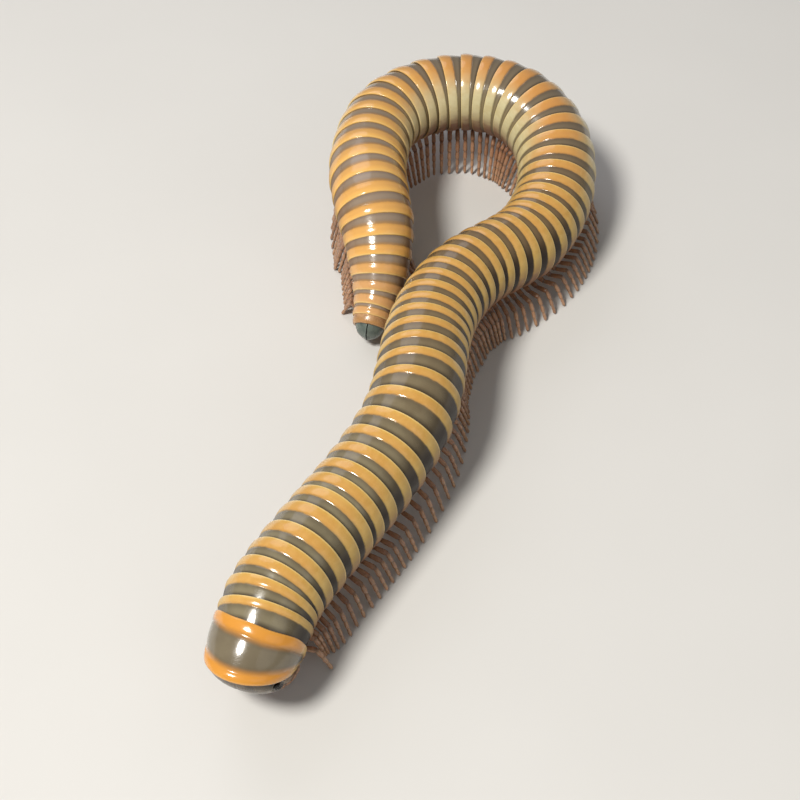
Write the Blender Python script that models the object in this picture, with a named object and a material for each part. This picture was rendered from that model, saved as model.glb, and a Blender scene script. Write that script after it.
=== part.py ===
"""A banded, cylindrical millipede standing at life size in a loose hook, its tail laid beside its middle.

Lengths are in millimetres and become metres in the meshes. +Z is up and the floor is z = 0. The origin
is on the floor at the centre of the whole animal. The body is a tube round one smooth axis that runs
from the neck to the tail, and a place on it is given by its distance along that axis, "along". A turn
round the body is 0 at the back and grows towards the animal's left.
"""

import math

import bmesh
import bpy
import numpy as np
from mathutils import Vector, geometry

MM = 0.001
UP = Vector((0.0, 0.0, 1.0))

# Body axis, from the neck to the tail
BODY_AXIS = (
    (-14.2, -34.02, 4.65),
    (-13.25, -31.52, 5.8),
    (-12.3, -28.82, 6.5),
    (-10.0, -24.82, 6.7),
    (-4.9, -16.52, 6.6),
    (-1.9, -10.32, 7.4),
    (-0.4, -1.62, 7.4),
    (1.3, 3.28, 7.1),
    (3.9, 7.18, 6.8),
    (9.3, 12.68, 5.9),
    (12.1, 18.88, 6.2),
    (12.2, 25.08, 7.3),
    (9.3, 29.88, 8.3),
    (4.4, 32.28, 8.3),
    (-0.8, 31.48, 8.1),
    (-4.7, 27.48, 8.1),
    (-6.0, 20.68, 8.3),
    (-5.6, 15.48, 8.2),
    (-5.0, 12.38, 7.1),
    (-4.8, 9.58, 5.3),
    (-5.0, 7.28, 3.6),
    (-5.5, 5.38, 2.4),
)
AXIS_STEPS = 24  # straight steps between two points of the axis

# Thickness of the body: distance along, radius of the hind bands
BODY_RADII = (
    (0.0, 3.55),
    (3.0, 3.7),
    (30.0, 3.9),
    (48.0, 3.6),
    (68.0, 3.9),
    (91.0, 3.75),
    (98.0, 3.75),
    (104.0, 3.55),
    (108.0, 2.95),
    (113.0, 1.85),
)
FRONT_BAND = 0.95  # radius of a ring's front band, over that of its hind band
FRONT_SHARE = 0.5  # where the hind band begins, over the ring's length
HIND_STEP = 0.03  # length of the step down behind a hind band

# Rings behind the collum: the ring's number, its length along the axis
COLLUM_LENGTH = 2.55
RING_PITCHES = (
    (0, 1.65),
    (1, 1.3),
    (2, 1.3),
    (5, 2.05),
    (7, 1.6),
    (10, 2.3),
    (14, 2.1),
    (18, 1.45),
    (21, 1.8),
    (31, 1.65),
    (32, 2.0),
    (42, 1.95),
    (46, 2.25),
    (50, 2.4),
    (52, 1.7),
    (57, 1.6),
    (58, 1.4),
    (59, 0.95),
)
RINGS = 60
LENGTHS = 10  # the trunk is built in this many lengths
SIDES = 16
GAP = 0.3  # between two neighbouring pieces

# Collum: the shield behind the head. Its front edge leans forward over the head, which nods as far
NECK = 0.5  # the middle of that edge, as a distance along
HEAD_NOD = math.radians(26)
COLLUM_SECTIONS = (  # distance behind the neck, size over the body's radius, lean over the nod
    (0.0, 0.88, 1.0),
    (0.25, 0.95, 0.93),
    (0.7, 1.0, 0.72),
    (1.3, 1.01, 0.4),
)
COLLUM_UNDERSIDE = 0.75  # flatter below, over the radius

# Head. A place on it is given by its distance to the side, its height over the body's axis and its
# depth in front of the collum
HEAD_SIDES = 20
HEAD_SECTIONS = (  # depth, half width, height over and under the body's axis, squareness
    (0.0, 2.75, 2.5, 2.0, 2.1),
    (0.3, 2.9, 2.45, 2.4, 2.2),
    (0.6, 2.85, 2.3, 2.6, 2.3),
    (0.9, 2.7, 2.1, 2.3, 2.2),
    (1.2, 2.4, 1.8, 1.6, 2.1),
    (1.45, 1.9, 1.4, 0.9, 2.0),
    (1.6, 1.2, 0.9, 0.35, 2.0),
)
CHEEK_PLACE, CHEEK_SIZE = (2.25, -1.35, 0.5), (0.75, 1.15, 0.5)  # half sizes, as all sizes here
JAW_PLATE_PLACE, JAW_PLATE_SIZE = (0.0, -2.35, 0.4), (1.5, 0.6, 0.42)
LIP_HALF_WIDTH, LIP_HEIGHT, LIP_RISE, LIP_DEPTH, LIP_THICKNESS = 1.4, -2.7, 0.42, 0.7, 0.5
LIP_PLACES, LIP_SIDES = 9, 6
EYE_DEPTH, EYE_TURN = 0.55, math.radians(76)  # turned from the top of the head
EYE_SIZE = (0.34, 0.55, 0.3)
EYE_SUNK = 0.12
EYE_ROOM = 0.25
ANTENNA_PATH = (
    (1.45, -0.75, 1.9),
    (1.8, -1.2, 1.85),
    (2.15, -1.8, 1.6),
    (2.4, -2.4, 1.4),
    (2.5, -3.0, 1.2),
    (2.55, -3.6, 0.85),
    (2.5, -4.1, 0.4),
)
ANTENNA_THICKNESS = (0.5, 0.5, 0.56, 0.54, 0.54, 0.56, 0.4)
ANTENNA_SIDES = 8

# Legs: two pairs to a ring, one pair on the first three rings, none on the last
SINGLE_PAIRS = 3
ONE_PAIR, TWO_PAIRS = (0.5,), (0.25, 0.75)  # places of the pairs, over the ring's length
LEG_SIZES = (0.56, 0.54, 0.5, 0.3)  # thickness at the root, the thigh, the knee and the foot
LEG_ROOT_SIDE = 0.8  # from the midline
LEG_ROOT_SUNK = 0.7
CROWDED = 0.72  # thickness over spacing, the most that a crowded leg takes
REACH_LOW, REACH_PER_RISE = 5.8, 0.46  # foot from the midline, less for each mm that the belly is raised
BEND_TUCK = 2.3  # a bend of radius r mm draws in its inner feet by this share of 1 / r
THIGH_SIDE, THIGH_SHARE = 2.1, 0.6  # end of the thigh from the midline, and its most over the foot's
THIGH_HANG = 0.15  # under the belly
KNEE_SHARE = 0.72  # knee from the midline, over the foot's distance
KNEE_BASE, KNEE_PER_RISE = 1.15, 0.56
KNEE_STEEPNESS = 0.75  # most that the line from the root rises to the knee
BEND_ROOM = 0.25  # least share of the spacing that a sharp bend leaves
KNEE_SWAY = 0.5  # over the foot's sway
WAVE_LEGS = 14  # legs in one wave of the walk
WAVE_SWAY = 0.2
NEIGHBOUR_RANGE, NEIGHBOUR_AHEAD = 12.0, 2.5  # a stretch of body this near takes room from the legs
FOOT_ROOM = 0.5

# Tail: distance behind the piece's own front face, size over the body's radius
TELSON_SECTIONS = ((0.0, 0.97), (0.35, 0.95), (0.65, 0.86))
VALVE_SECTIONS = ((0.0, 0.68), (0.45, 0.55), (0.85, 0.28))
VALVE_SIDES = 7


def straight_between(knots, place):
    """The value at a place between the knots of a list of (place, value)."""
    places, values = zip(*knots)
    return float(np.interp(place, places, values))


class Axis:
    """The smooth line through the body and the directions along it."""

    def __init__(self, knots):
        knots = [Vector(knot) for knot in knots]
        first, last = 3 * (knots[0] - knots[1]) + knots[2], 2 * knots[-1] - knots[-2]
        ends = [first] + knots + [last]
        self.points = []
        for i in range(1, len(ends) - 2):
            before, start, end, after = ends[i - 1 : i + 3]
            handles = start + (end - before) / 6, end - (after - start) / 6
            stretch = geometry.interpolate_bezier(start, *handles, end, AXIS_STEPS + 1)
            self.points += stretch[:-1]
        self.points.append(knots[-1])
        steps = [(b - a).length for a, b in zip(self.points, self.points[1:])]
        self.along = np.concatenate([[0.0], np.cumsum(steps)])

    def point(self, along):
        """The point at a distance along, running straight on past either end."""
        index = int(np.clip(np.searchsorted(self.along, along) - 1, 0, len(self.points) - 2))
        start, end = self.points[index], self.points[index + 1]
        share = (along - self.along[index]) / (self.along[index + 1] - self.along[index])
        return start + (end - start) * share

    def frame(self, along, reach=0.4):
        """(point, towards the tail, towards the animal's left, towards its back) at a distance along."""
        tailward = (self.point(along + reach) - self.point(along - reach)).normalized()
        left = tailward.cross(UP).normalized()
        return self.point(along), tailward, left, left.cross(tailward)

    def bend(self, along, reach=1.2):
        """How sharply the axis bends to the animal's left, in 1/mm."""
        before, after = self.frame(along - reach)[1], self.frame(along + reach)[1]
        return (after - before).dot(self.frame(along)[2]) / (2 * reach)


AXIS = Axis(BODY_AXIS)


def body_radius(along):
    return straight_between(BODY_RADII, along)


def ring_ends():
    """The distances along at which the rings end, from the collum's to the last ring's."""
    ends = [COLLUM_LENGTH]
    for ring in range(RINGS):
        ends.append(ends[-1] + straight_between(RING_PITCHES, ring))
    return ends


def circle(along, radius, lean=0.0, underside=1.0):
    """The corners of a round section of the body, its back leaning forward by an angle."""
    centre, tailward, left, back = AXIS.frame(along)
    corners = []
    for i in range(SIDES):
        turn = 2 * math.pi * i / SIDES
        height = radius * math.cos(turn)
        height *= underside if height < 0 else 1.0
        corner = centre + left * (radius * math.sin(turn)) + back * height
        corners.append(corner - tailward * (height * math.tan(lean)))
    return corners


def loft(loops):
    """(points, faces) of a closed skin over loops with the same number of corners, capped at both ends."""
    sides = len(loops[0])
    points = [corner for loop in loops for corner in loop]
    faces = [list(range(sides))]
    for start in range(0, sides * (len(loops) - 1), sides):
        for i in range(sides):
            j = (i + 1) % sides
            faces.append((start + i, start + sides + i, start + sides + j, start + j))
    faces.append([len(points) - 1 - i for i in range(sides)])
    return points, faces


def new_object(name, skin, material):
    """A mesh object whose faces point out."""
    points, faces = skin
    mesh = bpy.data.meshes.new(name)
    mesh.from_pydata([point * MM for point in points], [], faces)
    work = bmesh.new()
    work.from_mesh(mesh)
    bmesh.ops.recalc_face_normals(work, faces=work.faces)
    bmesh.ops.triangulate(work, faces=work.faces)
    work.to_mesh(mesh)
    work.free()
    mesh.materials.append(material)
    part = bpy.data.objects.new(name, mesh)
    bpy.context.scene.collection.objects.link(part)
    return part


def keep_largest_shell(mesh):
    """Deletes all but the closed surface with the most corners."""
    work = bmesh.new()
    work.from_mesh(mesh)
    unseen, shells = set(work.verts), []
    while unseen:
        shell, ahead = set(), [next(iter(unseen))]
        while ahead:
            vertex = ahead.pop()
            if vertex not in shell:
                shell.add(vertex)
                ahead += [edge.other_vert(vertex) for edge in vertex.link_edges]
        unseen -= shell
        shells.append(shell)
    largest = max(shells, key=len)
    spare = [vertex for vertex in work.verts if vertex not in largest]
    bmesh.ops.delete(work, geom=spare, context="VERTS")
    work.to_mesh(mesh)
    work.free()


def combine(part, pieces, operation="UNION"):
    """Joins closed pieces to a part, or cuts them from it, by one Boolean, and removes the pieces."""
    helpers = bpy.data.collections.new(part.name + "_pieces")
    bpy.context.scene.collection.children.link(helpers)
    for piece in pieces:
        helpers.objects.link(piece)
        bpy.context.scene.collection.objects.unlink(piece)
    boolean = part.modifiers.new("combine", "BOOLEAN")
    boolean.operation = operation
    boolean.operand_type = "COLLECTION"
    boolean.collection = helpers
    bpy.context.view_layer.update()
    whole = part.evaluated_get(bpy.context.evaluated_depsgraph_get())
    result = bpy.data.meshes.new_from_object(whole)
    part.modifiers.clear()
    part.data = result
    for piece in pieces:
        bpy.data.objects.remove(piece)
    bpy.data.collections.remove(helpers)
    keep_largest_shell(result)


def shade(part, angle=35):
    part.data.shade_smooth()
    part.data.set_sharp_from_angle(angle=math.radians(angle))


def chitin(name, colour, roughness):
    material = bpy.data.materials.new(name)
    material.use_nodes = True
    shader = material.node_tree.nodes["Principled BSDF"]
    shader.inputs["Base Color"].default_value = (*colour, 1.0)
    shader.inputs["Roughness"].default_value = roughness
    shader.inputs["Metallic"].default_value = 0.0
    return material


def room_beside(along, side):
    """Distance from the midline to half way to another stretch of the body, on one side."""
    centre, tailward, left, _ = AXIS.frame(along)
    nearest = NEIGHBOUR_RANGE
    for other, point in zip(AXIS.along[::4], AXIS.points[::4]):
        offset = point - centre
        ahead, sideways = offset.dot(tailward), offset.dot(left) * side
        if abs(other - along) > NEIGHBOUR_RANGE and abs(ahead) < NEIGHBOUR_AHEAD and sideways > 0:
            nearest = min(nearest, sideways)
    return nearest / 2


def leg(name, along, number, spacing, side, material):
    """One leg: thigh out under the belly, knee, and shin down to a small flat foot on the floor."""
    centre, tailward, left, back = AXIS.frame(along)
    radius = body_radius(along)
    bend = AXIS.bend(along) * side
    out = left * side
    level = Vector((tailward.x, tailward.y, 0.0)).normalized()
    belly = centre - back * radius
    reach = (REACH_LOW - REACH_PER_RISE * belly.z) * math.sqrt(radius / body_radius(0.0))
    reach = min(reach * (1 - BEND_TUCK * max(0.0, bend)), room_beside(along, side) - FOOT_ROOM)
    sway = level * WAVE_SWAY * math.sin(2 * math.pi * number / WAVE_LEGS)
    knee_side, thigh_side = KNEE_SHARE * reach, min(THIGH_SIDE, THIGH_SHARE * reach)
    steepest = belly.z + KNEE_STEEPNESS * (knee_side - LEG_ROOT_SIDE)
    knee_height = min(KNEE_BASE + KNEE_PER_RISE * belly.z, steepest)
    ground = Vector((belly.x, belly.y, 0.0))
    path = (
        centre - back * (radius - LEG_ROOT_SUNK) + out * LEG_ROOT_SIDE,
        ground + out * thigh_side + UP * (belly.z - THIGH_HANG),
        ground + out * knee_side + UP * knee_height + sway * KNEE_SWAY,
        ground + out * reach + sway,
    )
    loops = []
    for i, (place, size) in enumerate(zip(path, LEG_SIZES)):
        if i == 0:
            heading = path[1] - place
        elif i == len(path) - 1:
            heading = -UP
        else:
            heading = (path[i + 1] - place).normalized() + (place - path[i - 1]).normalized()
        room = spacing * max(BEND_ROOM, 1 - bend * (place - ground).dot(out))
        across = level * (min(size, CROWDED * room) / 2)
        thick = heading.cross(level).normalized() * (size / 2)
        loops.append([place + across + thick, place - across + thick, place - thick])
    return new_object(name, loft(loops), material)


def trunk_length(index, ends, shell, limb):
    """Some rings of the trunk as one tube with a raised hind band on each ring, and their legs."""
    rings = RINGS // LENGTHS
    first, last = index * rings, (index + 1) * rings - 1
    loops, legs = [], []
    for ring in range(first, last + 1):
        start, end = ends[ring], ends[ring + 1]
        pitch = end - start
        opens = start + (GAP / 2 if ring == first else HIND_STEP)
        closes = end - (GAP / 2 if ring == last else 0.0)
        middle = start + FRONT_SHARE * pitch
        loops.append(circle(opens, FRONT_BAND * body_radius(start)))
        loops.append(circle(middle, body_radius(middle)))
        loops.append(circle(closes, body_radius(end)))
        shares = () if ring == RINGS - 1 else ONE_PAIR if ring < SINGLE_PAIRS else TWO_PAIRS
        for turn, share in enumerate(shares):
            for side in (1, -1):
                name = f"leg_{ring}_{turn}_{side}"
                place = opens + share * (closes - opens)
                legs.append(leg(name, place, 2 * ring + turn, pitch / len(shares), side, limb))
    part = new_object(f"trunk_{index + 1:02d}", loft(loops), shell)
    combine(part, legs)
    shade(part)


def head_frame():
    """(point of the neck, out of the face, towards the animal's left, towards the top of the head)."""
    centre, tailward, left, back = AXIS.frame(NECK)
    forward = -tailward * math.cos(HEAD_NOD) - back * math.sin(HEAD_NOD)
    top = back * math.cos(HEAD_NOD) - tailward * math.sin(HEAD_NOD)
    return centre, forward, left, top


def head_place(sideways, height, depth):
    centre, forward, left, top = head_frame()
    return centre + left * sideways + top * height + forward * (depth + GAP)


def head_corner(section, turn):
    """The corner of a section of the head at a turn from its top."""
    depth, half_width, above, below, squareness = section
    across, upward = math.sin(turn), math.cos(turn)
    share = (abs(across) ** squareness + abs(upward) ** squareness) ** (-1 / squareness)
    height = upward * share * (above if upward > 0 else below)
    return head_place(across * share * half_width, height, depth)


def head_surface(depth, turn):
    """(place, direction out) on the head's skin."""
    depths = [section[0] for section in HEAD_SECTIONS]

    def place(at, angle):
        values = [np.interp(at, depths, column) for column in zip(*HEAD_SECTIONS)]
        return head_corner(values, angle)

    here, step = place(depth, turn), 0.05
    forward = place(depth + step, turn) - place(depth - step, turn)
    around = place(depth, turn + step) - place(depth, turn - step)
    return here, around.cross(forward).normalized()


def ellipsoid(name, centre, directions, halves, material):
    """An ellipsoid with its half sizes along three directions."""
    work = bmesh.new()
    bmesh.ops.create_icosphere(work, subdivisions=2, radius=1.0)
    for vertex in work.verts:
        place = centre.copy()
        for share, direction, half in zip(vertex.co, directions, halves):
            place += direction * (share * half)
        vertex.co = place * MM
    bmesh.ops.recalc_face_normals(work, faces=work.faces)
    mesh = bpy.data.meshes.new(name)
    work.to_mesh(mesh)
    work.free()
    mesh.materials.append(material)
    part = bpy.data.objects.new(name, mesh)
    bpy.context.scene.collection.objects.link(part)
    return part


def tube(path, thicknesses, sides):
    """A skin round a path of points, with a thickness at each."""
    loops = []
    for i, (place, thickness) in enumerate(zip(path, thicknesses)):
        heading = (path[min(i + 1, len(path) - 1)] - path[max(i - 1, 0)]).normalized()
        across = heading.cross(UP).normalized()
        upward = across.cross(heading)
        turns = [2 * math.pi * k / sides for k in range(sides)]
        loops.append([place + (across * math.cos(a) + upward * math.sin(a)) * (thickness / 2) for a in turns])
    return loft(loops)


def upper_lip(shell):
    """The raised edge over the mouth, highest at its middle."""
    path = []
    for share in np.linspace(-1.0, 1.0, LIP_PLACES):
        height = LIP_HEIGHT + LIP_RISE * share**2
        path.append(head_place(share * LIP_HALF_WIDTH, height, LIP_DEPTH))
    return new_object("upper_lip", tube(path, [LIP_THICKNESS] * LIP_PLACES, LIP_SIDES), shell)


def eye(side, name, material, room=0.0):
    """An oval field of simple eyes, sunk in the side of the head. Room makes the hollow that holds it."""
    place, outward = head_surface(EYE_DEPTH, side * EYE_TURN)
    if outward.dot(head_frame()[2]) * side < 0:
        outward = -outward
    top = head_frame()[3]
    down = (top - outward * top.dot(outward)).normalized()
    halves = [half + room for half in EYE_SIZE]
    return ellipsoid(name, place - outward * EYE_SUNK, (outward.cross(down), down, outward), halves, material)


def head(shell, black):
    """The head capsule with its cheeks, upper lip and jaw plate, its face turned down to the floor."""
    loops = []
    for section in HEAD_SECTIONS:
        loops.append([head_corner(section, 2 * math.pi * i / HEAD_SIDES) for i in range(HEAD_SIDES)])
    part = new_object("head", loft(loops), shell)
    _, forward, left, top = head_frame()
    pieces = [upper_lip(shell)]
    directions = (left, top, forward)
    pieces.append(ellipsoid("jaw_plate", head_place(*JAW_PLATE_PLACE), directions, JAW_PLATE_SIZE, shell))
    for side in (1, -1):
        sideways, height, depth = CHEEK_PLACE
        place = head_place(side * sideways, height, depth)
        pieces.append(ellipsoid(f"cheek_{side}", place, directions, CHEEK_SIZE, shell))
    combine(part, pieces)
    sockets = [eye(side, f"socket_{side}", black, EYE_ROOM) for side in (1, -1)]
    combine(part, sockets, "DIFFERENCE")
    shade(part)
    shade(eye(1, "eye_left", black))
    shade(eye(-1, "eye_right", black))


def antenna(side, name, limb):
    path = [head_place(side * sideways, height, depth) for sideways, height, depth in ANTENNA_PATH]
    shade(new_object(name, tube(path, ANTENNA_THICKNESS, ANTENNA_SIDES), limb))


def collum(shell):
    """The broad shield behind the head."""
    loops = []
    for behind, size, share in COLLUM_SECTIONS:
        radius = size * body_radius(NECK + behind)
        loops.append(circle(NECK + behind, radius, share * HEAD_NOD, COLLUM_UNDERSIDE))
    rear = COLLUM_LENGTH - GAP / 2
    loops.append(circle(rear, COLLUM_SECTIONS[-1][1] * body_radius(rear), 0.0, COLLUM_UNDERSIDE))
    shade(new_object("collum", loft(loops), shell))


def tail_end(ends, shell, dark):
    """The legless last piece of the body and the two valves that close it."""
    start = ends[-1] + GAP / 2
    radius = body_radius(start)
    loops = [circle(start + behind, size * radius) for behind, size in TELSON_SECTIONS]
    shade(new_object("telson", loft(loops), shell))
    hinge = start + TELSON_SECTIONS[-1][0] + GAP
    for side, name in ((1, "anal_valve_left"), (-1, "anal_valve_right")):
        loops = []
        for behind, size in VALVE_SECTIONS:
            centre, _, left, back = AXIS.frame(hinge + behind)
            corners = []
            for turn in np.linspace(0.0, math.pi, VALVE_SIDES):
                aside = GAP / 2 + size * radius * math.sin(turn)
                corners.append(centre + left * (side * aside) + back * (size * radius * math.cos(turn)))
            loops.append(corners)
        shade(new_object(name, loft(loops), dark))


def main():
    for stale in list(bpy.data.objects):
        bpy.data.objects.remove(stale)
    banded = chitin("banded_shell", (0.45, 0.27, 0.08), 0.25)
    grey = chitin("grey_shell", (0.13, 0.12, 0.09), 0.25)
    limb = chitin("limb", (0.35, 0.15, 0.06), 0.35)
    black = chitin("eye", (0.01, 0.01, 0.012), 0.15)
    ends = ring_ends()
    head(grey, black)
    antenna(1, "antenna_left", limb)
    antenna(-1, "antenna_right", limb)
    collum(banded)
    for index in range(LENGTHS):
        trunk_length(index, ends, banded, limb)
    tail_end(ends, banded, grey)


main()
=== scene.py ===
"""The looks of a banded, cylindrical millipede: shell, head, legs and light round its solids.

Lengths are in millimetres and become metres in the meshes. +Z is up and the floor is z = 0. A
place on the body is given by its distance along the body's axis, "along", which starts at the
neck. A turn round the body is 0 at the back and grows towards the animal's left.
"""

import random
from functools import partialmethod
from math import cos, exp, hypot, inf, pi, radians, sin, sqrt

import bpy
import numpy as np
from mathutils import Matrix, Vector, geometry


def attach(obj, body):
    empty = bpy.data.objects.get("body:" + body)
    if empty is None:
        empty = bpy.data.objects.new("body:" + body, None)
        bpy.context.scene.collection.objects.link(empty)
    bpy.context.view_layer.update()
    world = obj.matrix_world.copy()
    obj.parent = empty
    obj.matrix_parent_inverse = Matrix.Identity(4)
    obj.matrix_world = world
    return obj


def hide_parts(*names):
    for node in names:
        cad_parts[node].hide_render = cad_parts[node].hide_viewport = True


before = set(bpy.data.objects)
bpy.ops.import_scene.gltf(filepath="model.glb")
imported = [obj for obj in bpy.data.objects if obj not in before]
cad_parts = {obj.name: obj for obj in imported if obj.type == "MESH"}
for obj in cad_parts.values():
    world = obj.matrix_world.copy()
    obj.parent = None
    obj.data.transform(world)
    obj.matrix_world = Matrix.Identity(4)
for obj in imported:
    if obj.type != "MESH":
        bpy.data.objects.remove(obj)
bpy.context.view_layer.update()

MM = 0.001
UP = Vector((0, 0, 1))
SHARP_ANGLE = radians(40)
PLAIN = (0, 0.5, 0)  # marks of a piece without a worn edge
rng = random.Random(11)

# Body axis, from the neck to the tail
BODY_AXIS = (
    (-14.2, -34.02, 4.65), (-13.25, -31.52, 5.8), (-12.3, -28.82, 6.5),
    (-10, -24.82, 6.7), (-4.9, -16.52, 6.6), (-1.9, -10.32, 7.4),
    (-0.4, -1.62, 7.4), (1.3, 3.28, 7.1), (3.9, 7.18, 6.8),
    (9.3, 12.68, 5.9), (12.1, 18.88, 6.2), (12.2, 25.08, 7.3),
    (9.3, 29.88, 8.3), (4.4, 32.28, 8.3), (-0.8, 31.48, 8.1),
    (-4.7, 27.48, 8.1), (-6, 20.68, 8.3), (-5.6, 15.48, 8.2),
    (-5, 12.38, 7.1), (-4.8, 9.58, 5.3), (-5, 7.28, 3.6),
    (-5.5, 5.38, 2.4),
)
AXIS_STEPS, LIMB_STEPS = 24, 12  # from one knot to the next, along the body and along a limb
AXIS_SPARE, SAMPLE_STEP = 5, 0.1  # its directions are stored at this step, past its ends too
BODY_LENGTH = 113.5
BODY_RADII = (
    (0, 3.55), (3, 3.7), (30, 3.9), (48, 3.6), (68, 3.9),
    (91, 3.75), (98, 3.75), (104, 3.55), (108, 2.95), (113, 1.85),
)

# Rings behind the collum: the ring's number, its length along the axis
COLLUM_LENGTH = 2.55
RING_PITCHES = (
    (0, 1.65), (1, 1.3), (2, 1.3), (5, 2.05), (7, 1.6), (10, 2.3),
    (14, 2.1), (18, 1.45), (21, 1.8), (31, 1.65), (32, 2), (42, 1.95),
    (46, 2.25), (50, 2.4), (52, 1.7), (57, 1.6), (58, 1.4), (59, 0.95),
)
HIND_BANDS = (  # the ring's number, length of its hind band
    (0, 0.6), (1, 0.75), (4, 1.1), (10, 1.05), (12, 0.92), (17, 0.85), (28, 1),
    (35, 1.15), (41, 1.1), (46, 1.25), (50, 1.3), (52, 1), (58, 0.85), (59, 0.65),
)
RINGS = 60
LENGTHS = 10

# Wall of one ring: mm forward of its hind rim, and depth under the body's full radius
RING_SIDES = 128
RIM_ROUNDING, RIM_POINTS = 0.09, 9
HIND_SHARES = (0.25, 0.4, 0.55, 0.7, 0.82)  # places in the hind band
HIND_FALL, HIND_SWELL, SWELL_LEVEL = 0.05, 0.055, 0.3
GROOVE_STEPS = (-1.6, -0.8, -0.35, 0, 0.35, 0.8, 1.6)  # places in the groove, in widths
GROOVE_START, GROOVE_DEPTH, GROOVE_FALL = 0.04, 0.03, 0.014
GROOVE_WIDTH, GROOVE_SHARPNESS = 0.06, 2
FRONT_SHARES = (0.15, 0.35, 0.55, 0.75, 1)  # places in the front band
FRONT_DROP = (0.085, 0.2)  # where the front band starts, and where the ring before covers it
HIDDEN_SHARES = (0.35, 0.7, 1)  # places under the ring before
HIDDEN_PITCH, HIDDEN_EXTRA = 0.5, 0.35  # share of the ring's length, and mm more
HIDDEN_DROP, HIDDEN_CURVE = 0.55, 1.6
WALL = 0.16
INNER_WALL = (  # share of the hind band, and depth
    (0.75, FRONT_DROP[1] + WALL),
    (0.25, 2 * RIM_ROUNDING + 0.04),
)
WIDEST_BAND = 0.88  # hind band over the ring's length, where a bend hides the front band
TAIL_SHALLOW = (84, 104, 0.5)  # the rings' steps flatten by half between these places
BELLY_FLAT = (radians(145), pi, 0.06)  # turns, and share of the radius
RING_LEAN = 0.03  # most that a ring's rim stands out of line

# Legs
SINGLE_PAIRS = 3
LEG_ROOT_SIDE, LEG_ROOT_SUNK = 0.8, 0.7
REACH_LOW, REACH_PER_RISE = 5.8, 0.46
BEND_TUCK, BEND_ROOM = 2.3, 0.25
THIGH_SIDE, THIGH_SHARE, THIGH_HANG = 2.1, 0.6, 0.15
KNEE_SHARE = 0.72
KNEE_BASE, KNEE_PER_RISE = 1.15, 0.56
KNEE_SLOPE, KNEE_START = 0.75, 1  # how steeply it may rise over the belly, and from where
WAVE_LEGS, WAVE_LAG = 14, 0.9
WAVE_SWAY, KNEE_SWAY = 0.42, 0.5
NEIGHBOUR_RANGE, NEIGHBOUR_AHEAD = 12, 2.5
FOOT_ROOM, FOOT_LIFT = 0.5, 0.02
LEG_JOINTS = (0, 0.13, 0.34, 0.55, 0.7, 0.84, 0.97, 1)  # six pieces and a claw
LEG_WIDTHS = (0.5, 0.5, 0.47, 0.43, 0.38, 0.33, 0.12)
LEG_POINTS, LIMB_SIDES = 61, 10
LEG_LEAST, LEG_SPREAD = 0.94, 0.1  # size of the smallest leg, and how far others go over it
LEG_CROWDED = 0.8
PIECE_TAPER, CLAW_TAPER = 0.9, 0.15
LIMB_SWELL = ((0, 0.62), (0.12, 0.84), (0.4, 0.97), (0.72, 1.05), (0.9, 1), (1, 0.72))
LIMB_OVERLAP = 0.05

# Collum: the shield behind the head, open below
COLLUM_TURN = radians(112)
COLLUM_COLUMNS = 141
COLLUM_BOW = 1.85  # how far its front stands out over the head
COLLUM_SKEW, COLLUM_OVERHANG = 0.2, 0.05
COLLUM_FRONT_CORNER = (0.75, 1, 0.5)  # shares of the turn to its side, and mm towards the tail
COLLUM_LOBE, COLLUM_HIND_CORNER = (0.15, 0.65, 0.45), (0.8, 1, -0.6)
COLLUM_FULL = 2.8  # length at which its rims have their full size
COLLUM_DOME, DOME_FALL, DOME_CURVE = 1.01, 0.07, 2.5
COLLUM_FRONT_RIM, COLLUM_HIND_RIM, COLLUM_SIDE_RIM = 0.95, 0.95, 0.4
HIND_RIM_LEAST = 0.75
COLLUM_SHADE, COLLUM_LOW = 0.3, (0.35, 0.62, 0.45)  # how far down it has the back's colours
COLLUM_PLACE = 0.01  # its share of the body, for the shell's material
COLLUM_OUTLINE = (  # share of the length, distance in mm past it, depth under the dome
    (0, 0, 0.14), (0, 0.02, 0.06), (0, 0.09, 0.01), (0, 0.2, -0.02),
    (0, 0.4, -0.02), (0, 0.56, 0), (0, 0.66, 0.05), (0, 0.76, 0.07),
    (0, 0.88, 0.05), (0.3, 0, 0.02), (0.4, 0, 0), (0.5, 0, 0),
    (0.6, 0, 0.01), (0.7, 0, 0.03), (1, -0.95, 0.05), (1, -0.87, 0.08),
    (1, -0.8, 0.05), (1, -0.72, 0.01), (1, -0.5, -0.02), (1, -0.25, -0.02),
    (1, -0.08, 0), (1, -0.02, 0.04), (1, 0, 0.09), (1, -0.05, 0.15),
    (0.8, 0, 0.17), (0.5, 0, 0.17), (0.2, 0, 0.18), (0, 0.05, 0.2),
)
NECK_SIDES = 64
NECK_OUTLINE = (  # place along the axis, share of the body's radius
    (-0.4, 0.7), (0, 0.76), (0.8, 0.8), (1.6, 0.82), (2.4, 0.83), (3.2, 0.84), (4, 0.8),
)

# Head, in its own directions: to the side, towards its top, and out of the face
GAP = 0.3
NECK = 0.5
HEAD_NOD = radians(26)
HEAD_SECTIONS = (  # depth, half width, height over and under the neck's axis, squareness
    (-0.9, 2.3, 2.3, 1.9, 2), (-0.3, 2.6, 2.5, 1.9, 2), (0, 2.8, 2.5, 2.05, 2.1),
    (0.3, 2.9, 2.45, 2.4, 2.2), (0.6, 2.85, 2.3, 2.6, 2.3), (0.9, 2.7, 2.1, 2.3, 2.2),
    (1.2, 2.4, 1.8, 1.6, 2.1), (1.45, 1.9, 1.4, 0.9, 2), (1.6, 1.2, 0.9, 0.35, 2),
)
HEAD_COLUMNS, COLUMN_CROWDING = 220, 1.35
BACK_ROWS, BEND_ROWS, FACE_ROWS = 24, 44, 24
BACK_DEPTH, BEND_DEPTH, FACE_DEPTH = -0.9, 0.55, 1.6
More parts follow.
